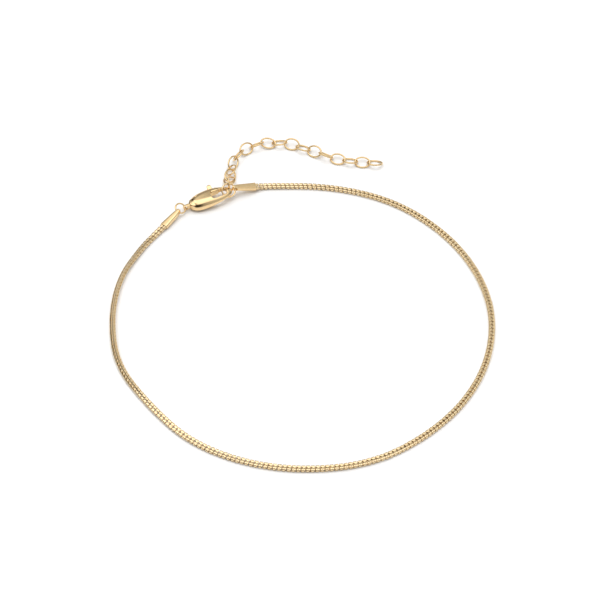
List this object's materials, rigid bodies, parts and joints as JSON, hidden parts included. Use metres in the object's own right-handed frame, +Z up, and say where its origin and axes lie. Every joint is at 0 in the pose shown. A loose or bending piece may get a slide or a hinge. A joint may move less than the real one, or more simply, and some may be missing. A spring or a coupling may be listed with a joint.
{
  "type": "chain anklet",
  "caption": "Fine flat gold-tone chain anklet, closed by a lobster clasp through an end ring, with an oval link extender trailing behind it.",
  "frame": {"origin": "middle of the chain's loop, on the surface that the anklet lies on", "axes": "+Z up from the surface, +Y towards the clasp and the extender, +X to the right seen from the front"},
  "size_m": [0.0736, 0.0857, 0.0028],
  "materials": {
    "flat_chain": "polished gold-tone plate over fine flat links",
    "end_caps": "polished gold-tone plate",
    "rings": "polished gold-tone wire",
    "clasp": "polished gold-tone casting",
    "lever": "polished gold-tone casting",
    "pin": "gold-tone rivet wire",
    "extender_links": "polished gold-tone wire links"
  },
  "bodies": {
    "anklet": {"chain": "flat_chain", "end_cap_clasp_side": "end_caps", "end_cap_ring_side": "end_caps", "jump_ring": "rings", "clasp_body": "clasp", "lever_pin": "pin", "end_ring": "rings", "extender_chain": "extender_links"},
    "lever": {"clasp_lever": "lever"}
  },
  "joints": [
    {"name": "lever_hinge", "type": "hinge", "parent": "anklet", "child": "lever", "pos_m": [-0.02074, 0.03181, 0.00118], "axis": [0.0816, 0.0394, -0.9959], "range_deg": [0, 18], "stiffness_Nm_per_rad": 0.008}
  ]
}
